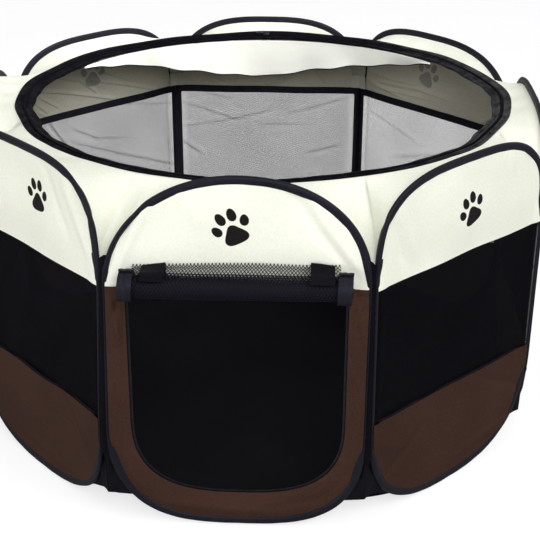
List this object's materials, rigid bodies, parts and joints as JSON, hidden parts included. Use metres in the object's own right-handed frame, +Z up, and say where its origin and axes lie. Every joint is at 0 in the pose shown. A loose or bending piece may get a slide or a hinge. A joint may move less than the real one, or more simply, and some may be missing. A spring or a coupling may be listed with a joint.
{
  "type": "pet playpen tent",
  "caption": "Pop-up octagonal pet playpen with sprung hoop walls, mesh windows, an open round roof and a roll-up mesh door.",
  "frame": {"origin": "on the ground, under the middle of the octagon of walls", "axes": "+Z up, and the wall with the door faces -Y"},
  "size_m": [0.74, 0.7747, 0.4467],
  "materials": {
    "cream_cloth": "plain woven polyester",
    "facing_cloth": "plain woven polyester",
    "brown_cloth": "plain woven polyester",
    "window_mesh": "fine knitted mesh",
    "flap_mesh": "coarse knitted mesh",
    "binding": "folded bias tape",
    "edge_tape": "woven tape",
    "floor_cloth": "coated cloth",
    "zip_tape": "zip tape with nylon coil",
    "spring_wire": "tempered wire",
    "zip_metal": "black enamel"
  },
  "bodies": {
    "front_wall": {"hoop_wire_front": "spring_wire", "edge_binding_front": "binding", "upper_panel_front": "cream_cloth", "door_surround": "brown_cloth", "door_zip_tape": "zip_tape", "door_flap_top": "flap_mesh", "door_tab_left": "edge_tape", "door_tab_right": "edge_tape", "floor_sheet": "floor_cloth", "floor_gusset_strip": "floor_cloth", "roof_collar": "cream_cloth", "rim_zip_band": "zip_tape", "back_facing": "facing_cloth"},
    "front_right_wall": {"hoop_wire_front_right": "spring_wire", "edge_binding_front_right": "binding", "upper_panel_front_right": "cream_cloth", "mesh_window_front_right": "window_mesh", "lower_panel_front_right": "brown_cloth"},
    "right_wall": {"hoop_wire_right": "spring_wire", "edge_binding_right": "binding", "upper_panel_right": "cream_cloth", "mesh_window_right": "window_mesh", "lower_panel_right": "brown_cloth"},
    "back_right_wall": {"hoop_wire_back_right": "spring_wire", "edge_binding_back_right": "binding", "upper_panel_back_right": "cream_cloth", "mesh_window_back_right": "window_mesh", "lower_panel_back_right": "brown_cloth"},
    "back_wall": {"hoop_wire_back": "spring_wire", "edge_binding_back": "binding", "upper_panel_back": "cream_cloth", "mesh_window_back": "window_mesh", "lower_panel_back": "brown_cloth"},
    "back_left_wall": {"hoop_wire_back_left": "spring_wire", "edge_binding_back_left": "binding", "upper_panel_back_left": "cream_cloth", "mesh_window_back_left": "window_mesh", "lower_panel_back_left": "brown_cloth"},
    "left_wall": {"hoop_wire_left": "spring_wire", "edge_binding_left": "binding", "upper_panel_left": "cream_cloth", "mesh_window_left": "window_mesh", "lower_panel_left": "brown_cloth"},
    "front_left_wall": {"hoop_wire_front_left": "spring_wire", "edge_binding_front_left": "binding", "upper_panel_front_left": "cream_cloth", "mesh_window_front_left": "window_mesh", "lower_panel_front_left": "brown_cloth"},
    "door_roll": {"door_flap_roll": "flap_mesh", "door_edge_tape_left": "edge_tape", "door_edge_tape_right": "edge_tape"},
    "door_zip_left_slider": {"door_zip_left_slider": "zip_metal"},
    "door_zip_left_pull": {"door_zip_left_pull": "zip_metal"},
    "door_zip_right_slider": {"door_zip_right_slider": "zip_metal"},
    "door_zip_right_pull": {"door_zip_right_pull": "zip_metal"},
    "rim_zip_slider": {"rim_zip_slider": "zip_metal"},
    "rim_zip_pull": {"rim_zip_pull": "zip_metal"}
  },
  "joints": [
    {"name": "wall_fold_front_right", "type": "hinge", "parent": "front_wall", "child": "front_right_wall", "pos_m": [0.15119, -0.365, 0.22], "axis": [0, 0, -1], "range_deg": [0, 132], "stiffness_Nm_per_rad": 0.4, "deforming": ["roof_collar", "rim_zip_band", "back_facing", "floor_gusset_strip", "floor_sheet", "rim_zip_slider", "rim_zip_pull"]},
    {"name": "wall_fold_right", "type": "hinge", "parent": "front_right_wall", "child": "right_wall", "pos_m": [0.3596, -0.14895, 0.22], "axis": [0, 0, 1], "range_deg": [0, 132]},
    {"name": "wall_fold_back_right", "type": "hinge", "parent": "right_wall", "child": "back_right_wall", "pos_m": [0.365, 0.15119, 0.22], "axis": [0, 0, -1], "range_deg": [0, 132]},
    {"name": "wall_fold_back", "type": "hinge", "parent": "back_right_wall", "child": "back_wall", "pos_m": [0.14895, 0.3596, 0.22], "axis": [0, 0, 1], "range_deg": [0, 132]},
    {"name": "wall_fold_front_left", "type": "hinge", "parent": "front_wall", "child": "front_left_wall", "pos_m": [-0.14895, -0.3596, 0.22], "axis": [0, 0, -1], "range_deg": [0, 132]},
    {"name": "wall_fold_left", "type": "hinge", "parent": "front_left_wall", "child": "left_wall", "pos_m": [-0.365, -0.15119, 0.22], "axis": [0, 0, 1], "range_deg": [0, 132]},
    {"name": "wall_fold_back_left", "type": "hinge", "parent": "left_wall", "child": "back_left_wall", "pos_m": [-0.3596, 0.14895, 0.22], "axis": [0, 0, -1], "range_deg": [0, 132]},
    {"name": "door_unroll", "type": "slide", "parent": "front_wall", "child": "door_roll", "axis": [0, 0, -1], "range_m": [0, 0.24], "deforming": ["door_flap_top"]},
    {"name": "door_zip_left_slide", "type": "slide", "parent": "front_wall", "child": "door_zip_left_slider", "axis": [0, 0, -1], "range_m": [0, 0.16]},
    {"name": "door_zip_left_pull_swing", "type": "hinge", "parent": "door_zip_left_slider", "child": "door_zip_left_pull", "pos_m": [-0.12649, -0.3603, 0.3135], "axis": [1, 0, 0], "range_deg": [0, 165]},
    {"name": "door_zip_right_slide", "type": "slide", "parent": "front_wall", "child": "door_zip_right_slider", "axis": [0, 0, -1], "range_m": [0, 0.16]},
    {"name": "door_zip_right_pull_swing", "type": "hinge", "parent": "door_zip_right_slider", "child": "door_zip_right_pull", "pos_m": [0.12649, -0.3603, 0.3135], "axis": [1, 0, 0], "range_deg": [0, 165]},
    {"name": "rim_zip_travel", "type": "hinge", "parent": "back_wall", "child": "rim_zip_slider", "pos_m": [0, 0, 0.4227], "axis": [0, 0, 1], "range_deg": [0, 350]},
    {"name": "rim_zip_pull_swing", "type": "hinge", "parent": "rim_zip_slider", "child": "rim_zip_pull", "pos_m": [0, 0.31113, 0.42767], "axis": [0, 0.985, 0.1724], "range_deg": [0, 165]}
  ],
  "couplings": [
    {"joint": "wall_fold_right", "follows": "wall_fold_front_right", "ratio": 1},
    {"joint": "wall_fold_back_right", "follows": "wall_fold_front_right", "ratio": 1},
    {"joint": "wall_fold_back", "follows": "wall_fold_front_right", "ratio": 1},
    {"joint": "wall_fold_front_left", "follows": "wall_fold_front_right", "ratio": 1},
    {"joint": "wall_fold_left", "follows": "wall_fold_front_right", "ratio": 1},
    {"joint": "wall_fold_back_left", "follows": "wall_fold_front_right", "ratio": 1}
  ]
}
